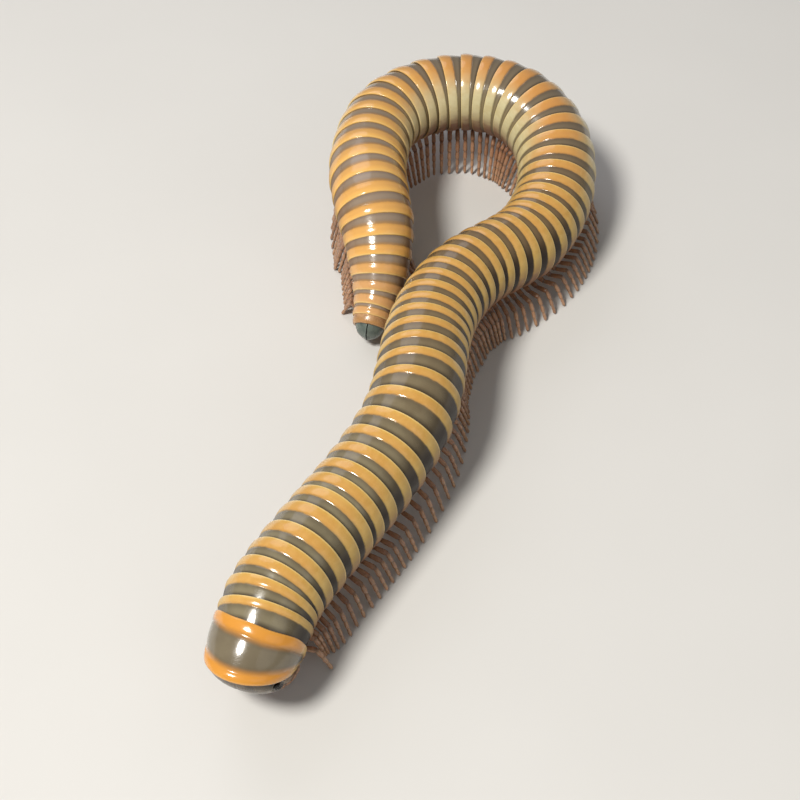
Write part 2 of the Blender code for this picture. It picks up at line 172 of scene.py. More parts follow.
FACE_MIDDLE, FACE_SWELL, FACE_HOLE = 0.25, 0.08, 0.02
HEAD_MIDDLE = (0, -0.3, 0.3)
LOW_EDGE, LOW_TONE = (-1.9, -2.9, 0.8), (-0.5, -2, 0.2)  # heights, and how much paler it is there

# Relief of the head. Grooves and rims have a width and a height, in mm
FRONT_FADE = (0.4, 0.8)  # depths between which the relief of the front sets in
MEDIAN_GROOVE, MEDIAN_HEIGHT, MEDIAN_DEPTH = (0.06, -0.05), (-0.5, 0.1), (-0.3, 0.4)
BROW_GROOVE, BROW_ENDS = (0.1, -0.05), (1.2, 1.9)
BROW_HEIGHT, BROW_CURVE = -1.5, 0.18
SOCKET_EDGE, SOCKET_DEPTH = (0.24, 0.4), 0.16
SOCKET_RIM, SOCKET_RIM_REACH = (0.08, 0.07), 0.46
EYE_BED, EYE_BED_EDGE, EYE_BED_DEPTH = 0.16, (0.82, 1.02), 0.14
EYE_RIM, EYE_RIM_REACH, EYE_NEAR = (0.1, 0.03), 1.12, -0.6
PIT, PIT_PLACES, PIT_HEIGHT = (0.07, -0.03), (-0.75, -0.25, 0.25, 0.75), -2.15

# Mouthparts
LIP_POINTS, LIP_HALF_WIDTH, LIP_HEIGHT, LIP_DEPTH = 41, 1.45, -2.65, 0.7
LIP_ARCH, LIP_NOTCH = 0.42, (0.14, 0.1)
LIP_THICKNESS, LIP_TAPER, LIP_DIP = 0.44, 0.1, (0.12, 0.08)
TEETH = ((-0.11, -2.76), (0, -2.79), (0.11, -2.76))
TOOTH_DEPTH, TOOTH_SIZE = 0.76, (0.1, 0.06, 0.05)
JAW_PLACE, JAW_SIZE = (0, -2.35, 0.38), (1.45, 0.58, 0.4)
SIDE_PIECES = (  # place, half sizes, worn edge and tone, squareness, rows and columns
    ((2.27, -1.5, 0.5), (1, 0.5, 0.73), (0.25, 0.55, 0), 2.4, 30, 40),  # the cheek's long piece
    ((2.4, -0.7, 0.3), (0.5, 0.4, 0.5), (0.1, 0.5, 0), 2.4, 20, 28),  # and the short one over it
    ((0.35, -2.7, 0.55), (0.14, 0.14, 0.14), (0.6, 0.5, 0), 2, 10, 14),  # inner palp
    ((0.95, -2.7, 0.55), (0.16, 0.16, 0.16), (0.6, 0.5, 0), 2, 10, 14),  # outer palp
)
POLE_GAP = 0.02

# Eyes and feelers
EYE_DEPTH, EYE_TURN = 0.55, radians(76)
EYE_SIZE = (0.34, 0.55, 0.3)
EYE_SUNK, EYE_RISE = 0.12, EYE_SIZE[2] - 0.05
LENS_STEP, LENS_ROW, LENS_COUNT = 0.155, 0.87, 4
LENS_FIELD = (EYE_SIZE[0] - 0.04, EYE_SIZE[1] - 0.04)
LENS_LIMIT, LENS_SIZE = 0.97, (0.06, 0.072, 0.072)
ANTENNA_PATH = (
    (1.45, -0.75, 1.1), (1.6, -0.95, 1.7), (2.05, -1.6, 1.6), (2.35, -2.25, 1.42),
    (2.5, -2.9, 1.2), (2.55, -3.55, 0.85), (2.5, -4.1, 0.4),
)
ANTENNA_JOINTS = (0, 0.12, 0.32, 0.48, 0.64, 0.8, 0.95, 1)
ANTENNA_WIDTHS = (0.46, 0.46, 0.48, 0.5, 0.52, 0.54, 0.34)
ANTENNA_POINTS = 101
ANTENNA_TONE = 0.2
PEGS, PEG_REACH, PEG_LIFT, PEG_SIZE = 4, 0.07, 0.02, (0.07, 0.03, 0.03)

# Tail end
TELSON_SIDES = 96
TELSON_EDGE = (0.35, 0.55, 0.7)
TELSON_OUTLINE = (  # distance behind the last ring's rim, share of the radius
    (-0.9, 0.86), (-0.4, 0.9), (0, 0.925), (0.25, 0.93), (0.45, 0.92), (0.62, 0.9),
    (0.74, 0.87), (0.8, 0.83), (0.81, 0.79), (0.79, 0.76), (0.6, 0.75), (-0.3, 0.76),
    (-0.9, 0.76),
)
VALVE_START, VALVE_LENGTH, VALVE_SIZE = 0.35, 1.55, 0.74
VALVE_ROWS, VALVE_ARC, VALVE_FLAT = 22, 28, 12  # rows, and points on its arc and its flat side
VALVE_CLOSED, VALVE_ASIDE = 0.97, 0.05
VALVE_RIDGE, VALVE_RIDGE_START = (0.16, 0.1), (0.2, 0.6)

# Shares of the body's length at which its colours change
COLLAR_END = (0.021, 0.022)
LOOP_START, LOOP_END = (0.48, 0.62), (0.82, 0.9)
TAIL_START = (0.69, 0.93)

# Light and the camera of the photograph
LIGHTS = (  # name, place, size, watts, colour
    ("key", (-165, -145, 350), 105, 1.6, (1, 0.97, 0.91)),
    ("fill", (260, -260, 240), 320, 0.09, (0.95, 0.97, 1)),
    ("rim", (-150, 290, 290), 300, 0.25, (0.9, 0.9, 1)),
)
WORLD_COLOUR, WORLD_STRENGTH = (1, 0.98, 0.95, 1), 0.22
FLOOR_SIZE = 3000
VIEW_TARGET = (-2.9, -2.77, 0)
VIEW_DISTANCE, VIEW_NEAREST = 134.98, 5
VIEW_ELEVATION = radians(47.4)
VIEW_ANGLE = radians(30)


def straight_between(knots, place):
    """The value at a place, or at each of an array, between knots of (place, value)."""
    return np.interp(place, *zip(*knots))


def smooth(low, high, value):
    """A smooth step from 0 to 1."""
    share = np.clip((np.asarray(value, float) - low) / (high - low), 0, 1)
    return share * share * (3 - 2 * share)


def ramp(low, high, height, value):
    """A smooth step from 0 to a height."""
    return height * smooth(low, high, value)


def ridge(width, height, offset):
    """The height of a ridge, or of a groove if it is negative, at an offset from its middle."""
    return height * np.exp(-((offset / width) ** 2))


def unit(direction):
    """A direction with a length of 1."""
    return direction / np.linalg.norm(direction)


def circle(across, upward, sides):
    """Points round an oval with these two half axes."""
    turns = np.linspace(0, 2 * pi, sides, endpoint=False)
    return np.multiply.outer(np.cos(turns), across) + np.multiply.outer(np.sin(turns), upward)


def smooth_line(knots, before, after, steps):
    """Points on a smooth line through knots. One point before and one after it steer its ends."""
    ends = [before, *knots, after]
    points = []
    for i in range(1, len(ends) - 2):
        previous, start, end, following = ends[i - 1 : i + 3]
        handles = start + (end - previous) / 6, end - (following - start) / 6
        points += geometry.interpolate_bezier(start, *handles, end, steps + 1)[:-1]
    return [*points, knots[-1]]


def on_line(places, points, wanted):
    """Points at the wanted places on a line of points with these places."""
    return np.stack([np.interp(wanted, places, column) for column in np.array(points).T], axis=-1)


def distances(points):
    """How far each point lies from the first, along the line of points."""
    steps = [(b - a).length for a, b in zip(points, points[1:])]
    return np.concatenate([[0], np.cumsum(steps)])


class Axis:
    """The smooth line through the body and the directions along it."""

    def __init__(self, knots):
        knots = [Vector(knot) for knot in knots]
        before, after = 3 * (knots[0] - knots[1]) + knots[2], 2 * knots[-1] - knots[-2]
        self.points = smooth_line(knots, before, after, AXIS_STEPS)
        self.along = distances(self.points)
        self.samples = np.arange(-AXIS_SPARE, self.along[-1] + AXIS_SPARE, SAMPLE_STEP)
        self.frames = np.array([self.frame(place) for place in self.samples])

    def point(self, along):
        """The point at a distance along, running straight on past either end."""
        index = int(np.clip(np.searchsorted(self.along, along) - 1, 0, len(self.points) - 2))
        start, end = self.points[index], self.points[index + 1]
        share = (along - self.along[index]) / (self.along[index + 1] - self.along[index])
        return start + (end - start) * share

    def frame(self, along, reach=0.4):
        """(point, towards the tail, towards the animal's left, towards its back) at a place."""
        tailward = (self.point(along + reach) - self.point(along - reach)).normalized()
        left = tailward.cross(UP).normalized()
        return self.point(along), tailward, left, left.cross(tailward)

    def around(self, along, turn, radius):
        """One point round the body, from the directions at its own place."""
        centre, _, left, back = self.frame(along)
        sideways, upward = radius * sin(turn), radius * cos(turn)
        return np.array(centre + left * sideways + back * upward)

    def skin(self, along, turn, radius):
        """Points round the body, from arrays of places, turns and radii."""
        along, turn, radius = np.broadcast_arrays(along, turn, radius)
        centre, _, left, back = (
            on_line(self.samples, table, along) for table in np.moveaxis(self.frames, 1, 0)
        )
        sideways, upward = radius * np.sin(turn), radius * np.cos(turn)
        return centre + left * sideways[..., None] + back * upward[..., None]

    def bend(self, along, reach=1.2):
        """How sharply the axis bends to the animal's left, in 1/mm."""
        before, after = self.frame(along - reach)[1], self.frame(along + reach)[1]
        return (after - before).dot(self.frame(along)[2]) / (2 * reach)


AXIS = Axis(BODY_AXIS)


def body_radius(along):
    """The radius of the hind bands at a place."""
    return straight_between(BODY_RADII, along)


def ring_ends():
    """The distances along at which the rings end, from the collum's to the last ring's."""
    return np.cumsum([COLLUM_LENGTH, *straight_between(RING_PITCHES, range(RINGS))])


def rings_of(index):
    """The numbers of the rings in one of the lengths that the solids have."""
    count = RINGS // LENGTHS
    return range(index * count, (index + 1) * count)


def srgb(red, green, blue):
    """A colour as a screen shows it, 0 to 255, in linear light."""
    shares = [channel / 255 for channel in (red, green, blue)]
    linear = [c / 12.92 if c <= 0.04045 else ((c + 0.055) / 1.055) ** 2.4 for c in shares]
    return (*linear, 1)


def added(name, data):
    """A new object in the scene."""
    item = bpy.data.objects.new(name, data)
    bpy.context.scene.collection.objects.link(item)
    return item


def aimed(name, data, place, target):
    """A new light or camera at one place, turned to another."""
    item = added(name, data)
    item.location = Vector(place) * MM
    item.rotation_euler = (Vector(target) - Vector(place)).to_track_quat("-Z", "Y").to_euler()
    return item


class Surface:
    """Points, faces and three marks for each point, gathered from any number of nets."""

    def __init__(self):
        self.points, self.faces, self.marks, self.count = [], [], [], 0

    def grid(self, points, marks, wrap_rows=False, wrap_columns=True, flip=False, caps=False):
        """Adds a net of rows and columns of points, with three marks, each a number or a net.

        Caps close its first and last row. A net whose columns don't wrap is closed on both sides.
        """
        points = np.asarray(points, float)
        marks = np.stack(np.broadcast_arrays(*marks, points[..., 0])[:3], axis=-1)
        rows, columns = points.shape[:2]
        index = np.arange(rows * columns).reshape(rows, columns) + self.count
        down = np.roll(index, -1, axis=0) if wrap_rows else index[1:]
        upper = index if wrap_rows else index[:-1]
        corners = (upper, down, np.roll(down, -1, axis=1), np.roll(upper, -1, axis=1))
        if not wrap_columns:
            corners = [corner[:, :-1] for corner in corners]
        faces = np.stack([corner.ravel() for corner in corners], axis=1)
        self.faces += (faces[:, ::-1] if flip else faces).tolist()
        if not wrap_columns:
            self.faces += [index[:, 0].tolist(), index[::-1, -1].tolist()]
        if caps:
            first, last = index[0].tolist(), index[-1].tolist()
            self.faces += [first[::-1], last] if flip else [first, last[::-1]]
        self.points.append(points.reshape(-1, 3))
        self.marks.append(marks.reshape(-1, 3))
        self.count += rows * columns

    def make(self, name, material, replaces=(), mark="ring"):
        """One piece that rides on the body, with its marks in an attribute."""
        mesh = bpy.data.meshes.new(name)
        mesh.from_pydata(np.concatenate(self.points) * MM, [], self.faces)
        values = mesh.attributes.new(mark, "FLOAT_VECTOR", "POINT")
        values.data.foreach_set("vector", np.concatenate(self.marks).astype(np.float32).ravel())
        mesh.materials.append(material)
        mesh.shade_smooth()
        mesh.set_sharp_from_angle(angle=SHARP_ANGLE)
        piece = added(name, mesh)
        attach(piece, "root")
        if replaces:
            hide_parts(*replaces)


class Shader:
    """Builds one node material. Most methods take sockets or constants and return a socket."""

    def __init__(self, name):
        self.material = bpy.data.materials.new(name)
        self.material.use_nodes = True
        self.tree = self.material.node_tree
        place = self.node("ShaderNodeTexCoord").outputs["Object"]
        inputs = {0: place, "Scale": 1 / MM}
        self.place = self.node("ShaderNodeVectorMath", inputs, operation="SCALE").outputs[0]

    def feed(self, node, inputs):
        """Links inputs of a node to sockets, or sets them to constants, by name or number."""
        for key, value in inputs.items():
            if isinstance(value, bpy.types.NodeSocket):
                self.tree.links.new(value, node.inputs[key])
            else:
                node.inputs[key].default_value = value

    def node(self, kind, inputs=(), **settings):
        """A new node with its settings and some of its inputs."""
        node = self.tree.nodes.new(kind)
        for name, value in settings.items():
            setattr(node, name, value)
        self.feed(node, dict(inputs))
        return node

    def math(self, operation, a, b=0):
        """One operation on numbers."""
        return self.node("ShaderNodeMath", {0: a, 1: b}, operation=operation).outputs[0]

    plus = partialmethod(math, "ADD")
    minus = partialmethod(math, "SUBTRACT")
    times = partialmethod(math, "MULTIPLY")

    def step(self, value, low, high, start=0, end=1):
        """A smooth step of a value, from start at low to end at high."""
        inputs = enumerate((value, low, high, start, end))
        kind = "ShaderNodeMapRange"
        return self.node(kind, inputs, interpolation_type="SMOOTHSTEP").outputs[0]

    def mix(self, share, a, b):
        """A colour between two. A mix node's colours are its inputs 6 and 7 and its output 2."""
        inputs = {"Factor": share, 6: a, 7: b}
        return self.node("ShaderNodeMix", inputs, data_type="RGBA").outputs[2]

    def layers(self, colour, *coats):
        """A colour with others over it, each laid on by its own share."""
        for share, coat in coats:
            colour = self.mix(share, colour, coat)
        return colour

    def marks(self, name):
        """The three marks of an attribute."""
        values = self.node("ShaderNodeAttribute", attribute_name=name).outputs["Vector"]
        return tuple(self.node("ShaderNodeSeparateXYZ", {0: values}).outputs)

    def noise(self, scale, detail=3, vector=None):
        """Cloudy noise, by default over places in mm."""
        vector = self.place if vector is None else vector
        inputs = {"Vector": vector, "Scale": scale, "Detail": detail, "Roughness": 0.55}
        return self.node("ShaderNodeTexNoise", inputs).outputs[0]

    def relief(self, *heights):
        """Relief on relief, from pairs of a height and its depth in mm."""
        normal = None
        for height, depth in heights:
            inputs = {"Height": height, "Distance": depth * MM, "Strength": 1}
            if normal is not None:
                inputs["Normal"] = normal
            normal = self.node("ShaderNodeBump", inputs).outputs[0]
        return normal

    def finished(self, inputs):
        """The material, with these inputs of its surface."""
        self.feed(self.tree.nodes["Principled BSDF"], inputs)
        return self.material


def shell_material():
    """Glossy chitin: an orange hind band and an olive grey front band on each ring.

    Its marks are the turn from the back, 0 to 1, the place in the ring, which is 0 at the hind rim
    and 1 where the bands meet, and the share of the body's length.
    """
    s = Shader("shell")
    turn, band, along = s.marks("ring")
    cloud, fine = s.minus(s.noise(0.6), 0.5), s.minus(s.noise(9), 0.5)
    stretched = enumerate((s.times(turn, 22), s.times(band, 0.9), s.times(along, 900)))
    streak = s.noise(1, 2, s.node("ShaderNodeCombineXYZ", stretched).outputs[0])
    streaks = s.step(streak, 0.25, 0.75)
    wander = s.times(s.minus(streak, 0.5), 0.14)

    # Parts of the body: the collum, the loop and the tail end
    collar = s.step(along, *COLLAR_END, 1, 0)
    loop = s.times(s.step(along, *LOOP_START), s.step(along, *LOOP_END, 1, 0))
    tail = s.step(along, *TAIL_START)

    # Parts of a ring: the hind band, whose edge is softer on the collum, and the flanks
    place = s.plus(band, wander)
    hind = s.mix(collar, s.step(place, 0.88, 1.08, 1, 0), s.step(place, 0.6, 1.35, 1, 0))
    start = s.plus(s.step(loop, 0, 1, 0.3, 0.2), s.times(tail, 0.2))
    flank = s.step(s.plus(s.minus(turn, start), s.times(cloud, 0.12)), -0.15, 0.15)
    # Low on the flanks: the belly's brown. Outside the loop it starts higher up, as painted shade
    low = s.step(s.plus(turn, wander), s.step(loop, 0, 1, 0.34, 0.44), 0.64)

    # Hind band: orange on the back, khaki or cream on the flanks, brown and painted shade low down,
    # a painted highlight at its rim
    khaki = s.mix(streaks, srgb(198, 164, 90), srgb(210, 180, 108))
    cream = s.mix(streaks, srgb(206, 192, 146), srgb(216, 206, 164))
    # From 0.68 of the body's length the cream turns paler: painted light on the flanks there
    cream = s.mix(s.step(along, 0.68, 0.76, 0, 0.4), cream, srgb(240, 222, 180))
    # Painted highlight: a pale line along each hind rim, faint on the loop and on the collum
    rims = s.plus(s.step(along, 0.5, 0.66, 1, 0.25), s.step(along, 0.9, 0.97, 0, 0.35))
    rim_highlight = s.times(s.step(band, 0.05, 0.2, 0.9, 0), rims)
    rim_highlight = s.times(rim_highlight, s.step(collar, 0, 1, 1, 0.1))
    hind_colour = s.layers(
        s.mix(streaks, srgb(216, 166, 78), srgb(226, 180, 96)),
        (s.times(loop, s.step(along, 0.68, 0.84, 0.8, 0.2)), srgb(216, 150, 80)),
        (tail, srgb(240, 184, 100)),
        (s.step(band, 0.15, 0.55, 0, 0.35), srgb(200, 142, 84)),
        (s.step(band, 0.7, 1, 0, 0.3), srgb(182, 122, 58)),
        (s.times(collar, 0.8), srgb(224, 148, 50)),
        (flank, s.mix(loop, khaki, cream)),
        (low, srgb(140, 100, 74)),
        (s.step(along, 0.95, 0.98, 0, 0.55), srgb(206, 158, 116)),
        (rim_highlight, srgb(246, 216, 140)),
    )

    # Front band: grey, dark brown with painted shade on the flanks, brown below, and in shade under
    # the ring before
    tail_grey = s.mix(s.step(band, 1, 1.4), srgb(196, 152, 98), srgb(152, 134, 116))
    # Flanks of the front band: a dark brown that is mostly painted shade, pale on the loop
    flank_grey_and_shade = s.mix(loop, srgb(36, 24, 13), srgb(144, 130, 98))
    shade = s.times(s.step(band, 1.6, 1.95, 0, 0.75), s.minus(1, collar))
    front_colour = s.layers(
        s.mix(s.step(cloud, -0.2, 0.2), srgb(120, 110, 86), srgb(136, 126, 100)),
        (s.times(collar, 0.6), srgb(112, 100, 82)),
        (s.step(along, 0.1, 0.45, 0, 0.85), srgb(115, 91, 60)),
        (s.times(loop, 0.7), srgb(122, 111, 94)),
        (tail, tail_grey),
        (s.step(turn, 0.16, 0.42), s.mix(tail, flank_grey_and_shade, srgb(128, 96, 66))),
        (s.step(turn, 0.56, 0.75), srgb(104, 74, 56)),
        (s.step(band, 1.05, 1.5, 0.3, 0), srgb(60, 46, 32)),
        (s.times(shade, s.step(along, 0.66, 0.8, 1, 0.3)), srgb(44, 32, 20)),
    )

    # Relief: ribs on the flanks, rings round the front band, grain and wide dents
    ribs = s.times(s.math("SINE", s.times(turn, 420)), s.step(turn, 0.4, 0.62, 0.05, 1))
    rings = s.times(s.math("SINE", s.times(band, 55)), s.minus(1, hind))
    relief = s.relief((s.times(ribs, hind), 0.006), (rings, 0.0012), (fine, 0.008), (cloud, 0.06))
    return s.finished(
        {
            "Base Color": s.mix(hind, front_colour, hind_colour),
            "Roughness": s.plus(s.step(turn, 0.2, 0.45, 0.24, 0.45), s.times(fine, 0.12)),
            "Normal": relief,
            "Coat Weight": s.step(turn, 0.2, 0.45, 0.9, 0.1),
            "Coat Roughness": 0.13,
            "Coat IOR": 1.6,
            "Specular IOR Level": 0.2,
        }
    )


def plate_material(name, dark, pale, roughness=0.25):
    """Plain glossy chitin, mottled between two colours, with a paler worn edge where marked."""
    s = Shader(name)
    edge, tone, _ = s.marks("ring")
    grain, fine = s.noise(1.5, 4), s.noise(11)
    mottled = s.mix(s.step(s.plus(grain, s.minus(tone, 0.5)), 0.3, 0.7), dark, pale)
    values = {
        "Base Color": s.mix(edge, mottled, srgb(190, 140, 84)),
        "Roughness": s.plus(roughness - 0.06, s.times(fine, 0.14)),
        "Normal": s.relief((grain, 0.05), (fine, 0.014)),
        "Coat Weight": 0.3,
        "Coat Roughness": 0.12,
    }
    return s.finished(values)


def limb_material():
    """Translucent caramel chitin, darker at the joints and paler in the middle of each piece."""
    s = Shader("limb")
    share, rank, tone = s.marks("limb")
    grain = s.noise(4)
    middle = s.minus(1, s.math("ABSOLUTE", s.minus(s.times(share, 2), 1)))
    colour = s.layers(
        s.mix(s.step(middle, 0.05, 0.5), srgb(104, 70, 50), srgb(168, 124, 94)),
        (s.step(rank, 0, 0.9, 0, 0.5), srgb(206, 166, 130)),
        (s.times(tone, 0.5), srgb(124, 86, 64)),
    )
    values = {
        "Base Color": colour,
        "Roughness": s.step(grain, 0.3, 0.7, 0.2, 0.34),
        "Normal": s.relief((grain, 0.02)),
        "Subsurface Weight": 0.12,
        "Subsurface Radius": (1, 0.4, 0.15),
        "Subsurface Scale": 0.25 * MM,
        "Coat Weight": 0.25,
        "Coat Roughness": 0.15,
    }
    return s.finished(values)


def eye_material():
    """Glossy black chitin."""
    s = Shader("eye")
    values = {
        "Base Color": s.mix(s.noise(6), srgb(6, 5, 7), srgb(30, 22, 20)),
        "Roughness": s.step(s.noise(14), 0.3, 0.7, 0.1, 0.2),
        "Coat Weight": 0.6,
        "Coat Roughness": 0.06,
    }
    return s.finished(values)


def floor_material():
    """A pale, plain floor."""
    s = Shader("floor")
    colour = s.mix(s.noise(0.05, 2), (0.70, 0.69, 0.67, 1), (0.74, 0.73, 0.71, 1))
    return s.finished({"Base Color": colour, "Roughness": 0.7})


def ring_profile(pitch, band, stretch, shallow):
    """Closed outline of a ring's wall at each turn: distance forward of the hind rim, and depth."""
    rows = []
    for angle in np.linspace(-pi / 2, pi / 2, RIM_POINTS):
        forward = RIM_ROUNDING * (1 - cos(angle)) / stretch
        rows.append((forward, RIM_ROUNDING * (1 - sin(angle))))
    for share in HIND_SHARES:
        swell = HIND_SWELL * (sin(pi * share) - SWELL_LEVEL)
        rows.append((share * band, HIND_FALL * share**2 - swell))
    reach = GROOVE_STEPS[-1]
    for step in GROOVE_STEPS:
        groove = GROOVE_DEPTH * exp(-GROOVE_SHARPNESS * step**2)
        depth = shallow * (GROOVE_START + groove + GROOVE_FALL * (step + reach))
        rows.append((band + step * GROOVE_WIDTH, depth))
    groove_end = band + reach * GROOVE_WIDTH
    for share in FRONT_SHARES:
        depth = shallow * (FRONT_DROP[0] + share * (FRONT_DROP[1] - FRONT_DROP[0]))
        rows.append((groove_end + share * (pitch - groove_end), depth))
    covered, hidden = shallow * FRONT_DROP[1], HIDDEN_PITCH * pitch + HIDDEN_EXTRA
    for share in HIDDEN_SHARES:
        depth = covered + share**HIDDEN_CURVE * (HIDDEN_DROP - covered)
        rows.append((pitch + share * hidden, depth))
    rows.append((pitch + hidden, HIDDEN_DROP + WALL))
    rows += [(share * band, depth) for share, depth in INNER_WALL]
    rows = [np.broadcast_arrays(forward, depth, stretch)[:2] for forward, depth in rows]
    return np.moveaxis(np.array(rows), 1, 0)


def ring_shell(surface, ring, ends):
    """One ring, square to the axis at its hind rim. A bend hides more of its front inside."""
    start, end = ends[ring], ends[ring + 1]
    pitch = end - start
    turns = np.linspace(-pi, pi, RING_SIDES, endpoint=False)
    rims = [AXIS.skin(place, turns, body_radius(place)) for place in (start, end)]
    stretch = np.sqrt(np.linalg.norm(rims[1] - rims[0], axis=1) / pitch)
    band = np.minimum(straight_between(HIND_BANDS, ring) / stretch, WIDEST_BAND * pitch)
    forward, depth = ring_profile(pitch, band, stretch, 1 - ramp(*TAIL_SHALLOW, end))
    lean = rng.uniform(-RING_LEAN, RING_LEAN) * np.cos(turns - rng.uniform(0, pi))
    radii = (body_radius(end - forward) - depth) * (1 - ramp(*BELLY_FLAT, np.abs(turns)))
    points = AXIS.skin(end - forward + lean, turns, radii)
    place = np.where(forward < band, forward / band, 1 + (forward - band) / (pitch - band))
    surface.grid(points, (np.abs(turns) / pi, place, end / BODY_LENGTH), wrap_rows=True)


def trunk(ends, shell):
    """The rings, in the ten lengths that the solids have."""
    for index in range(LENGTHS):
        surface = Surface()
        for ring in rings_of(index):
            ring_shell(surface, ring, ends)
        surface.make(f"rings_{index + 1:02d}", shell, [f"trunk_{index + 1:02d}"])


def curve_through(path, count):
    """Points at even distances on a smooth curve through a path."""
    before, after = 2 * path[0] - path[1], 2 * path[-1] - path[-2]
    points = smooth_line(path, before, after, LIMB_STEPS)
    places = distances(points)
    return on_line(places, points, np.linspace(0, places[-1], count))


def pieces_of(curve, joints):
    """(start, end) of each piece of a limb, with its joints at shares of the limb's curve."""
    places = [curve[round(joint * (len(curve) - 1))] for joint in joints]
    return zip(places, places[1:])


def limb_piece(surface, start, end, level, width, rank, tone, room=inf, taper=1):
    """One swollen piece of a limb, between two joints. A claw tapers to a point."""
    level, length = np.asarray(level, float), np.linalg.norm(end - start)
    heading = unit(end - start)
    across = unit(level - heading * (level @ heading))
    oval = circle(across * min(1, room / width), np.cross(heading, across), LIMB_SIDES)
    shares, swells = np.array(LIMB_SWELL).T
    widths = swells * width / 2 * (1 + (taper - 1) * shares)
    overlap = LIMB_OVERLAP * length
    places = start + np.multiply.outer(shares * (length + 2 * overlap) - overlap, heading)
    points = places[:, None] + widths[:, None, None] * oval[None]
    surface.grid(points, (shares[:, None], rank, tone), caps=True)


def room_beside(along, side):
    """Distance from the midline to half way to another stretch of the body, on one side."""
    centre, tailward, left, _ = AXIS.frame(along)
    nearest = NEIGHBOUR_RANGE
    for other, point in list(zip(AXIS.along, AXIS.points))[::4]:
        offset = point - centre
        ahead, sideways = abs(offset.dot(tailward)), offset.dot(left) * side
        if abs(other - along) > NEIGHBOUR_RANGE and ahead < NEIGHBOUR_AHEAD and sideways > 0:
            nearest = min(nearest, sideways)
    return nearest / 2


def leg_path(along, number, side):
    """Root, thigh, knee and foot of one leg, and what lies round it.

    That is the body's level direction, its bend to this side, the way out and the floor below.
    """
    centre, tailward, left, back = AXIS.frame(along)
    radius = body_radius(along)
    bend = AXIS.bend(along) * side
    out = left * side
    level = Vector((tailward.x, tailward.y, 0)).normalized()
    belly = centre - back * radius
    reach = (REACH_LOW - REACH_PER_RISE * belly.z) * sqrt(radius / body_radius(0))
    reach = min(reach * (1 - BEND_TUCK * max(0, bend)), room_beside(along, side) - FOOT_ROOM)
    wave = 2 * pi * number / WAVE_LEGS + (WAVE_LAG if side > 0 else 0)
    sway = level * WAVE_SWAY * sin(wave)
    knee_side, thigh_side = KNEE_SHARE * reach, min(THIGH_SIDE, THIGH_SHARE * reach)
    knee_limit = belly.z + KNEE_SLOPE * (knee_side - KNEE_START)
    knee_height = min(KNEE_BASE + KNEE_PER_RISE * belly.z, knee_limit)
    ground = Vector((belly.x, belly.y, 0))
    path = (
        centre - back * (radius - LEG_ROOT_SUNK) + out * LEG_ROOT_SIDE,
        ground + out * thigh_side + UP * (belly.z - THIGH_HANG),
        ground + out * knee_side + UP * knee_height + sway * KNEE_SWAY,
        ground + out * reach + sway + UP * FOOT_LIFT,
    )
    return path, level, bend, out, ground


def leg(surface, along, number, spacing, side):
    """One leg: six pieces and a claw on the smooth line from its root to the floor."""
    path, level, bend, out, ground = leg_path(along, number, side)
    curve = curve_through(path, LEG_POINTS)
    tone = rng.random()
    size = LEG_LEAST + LEG_SPREAD * rng.random()
    claw = len(LEG_WIDTHS) - 1
    for rank, (start, end) in enumerate(pieces_of(curve, LEG_JOINTS)):
        outward = Vector((start + end) / 2) - ground
        room = LEG_CROWDED * spacing * max(BEND_ROOM, 1 - bend * outward.dot(out))
        taper = CLAW_TAPER if rank == claw else PIECE_TAPER
        width = LEG_WIDTHS[rank] * size
        limb_piece(surface, start, end, level, width, rank / claw, tone, room, taper)


def legs(ends, limb):
    """All legs of each length of the trunk as one piece."""
    for index in range(LENGTHS):
        surface = Surface()
        for ring in rings_of(index):
            pitch = ends[ring + 1] - ends[ring]
            shares = () if ring == RINGS - 1 else (0.5,) if ring < SINGLE_PAIRS else (0.25, 0.75)
            for turn, share in enumerate(shares):
                for side in (1, -1):
                    place = ends[ring] + share * pitch
                    leg(surface, place, 2 * ring + turn, pitch / len(shares), side)
        surface.make(f"legs_{index + 1:02d}", limb, mark="limb")


def collum_edges(turn):
    """Where the collum's front edge and hind edge lie along the axis, at a turn."""
    aside = abs(turn) / COLLUM_TURN
    front = NECK - COLLUM_BOW * cos(turn) + ramp(*COLLUM_FRONT_CORNER, aside)
    rear = COLLUM_LENGTH + COLLUM_OVERHANG + ramp(*COLLUM_LOBE, aside)
    return front, rear + ramp(*COLLUM_HIND_CORNER, aside) - COLLUM_SKEW * sin(turn)


def collum(shell):
    """The shield behind the head, with raised rims and a rounded lobe on each side."""
    turns = np.linspace(-COLLUM_TURN, COLLUM_TURN, COLLUM_COLUMNS)
    points = np.empty((len(COLLUM_OUTLINE), COLLUM_COLUMNS, 3))
    near = np.empty(points.shape[:2])
    for column, turn in enumerate(turns):
        front, rear = collum_edges(turn)
        size = min(1, (rear - front) / COLLUM_FULL)
        edge = (COLLUM_TURN - abs(turn)) * body_radius(0) / COLLUM_SIDE_RIM
        hind_rim = COLLUM_HIND_RIM * (HIND_RIM_LEAST + (1 - HIND_RIM_LEAST) * cos(turn))
        for row, (share, past, depth) in enumerate(COLLUM_OUTLINE):
            along = front + share * (rear - front) + past * size
            forward = max(0, 1 - (along - front) / (rear - front))
            dome = body_radius(max(along, 0)) * (COLLUM_DOME - DOME_FALL * forward**DOME_CURVE)
            points[row, column] = AXIS.around(along, turn, dome - depth)
            rims = (along - front) / COLLUM_FRONT_RIM, (rear - along) / hind_rim, edge
            near[row, column] = min(rims)
    turned = np.abs(turns) / pi
    low = COLLUM_SHADE * turned + ramp(*COLLUM_LOW, turned)
    surface = Surface()
    surface.grid(points, (low, near, COLLUM_PLACE), wrap_rows=True, wrap_columns=False)
    surface.make("collum", shell, ["collum"])


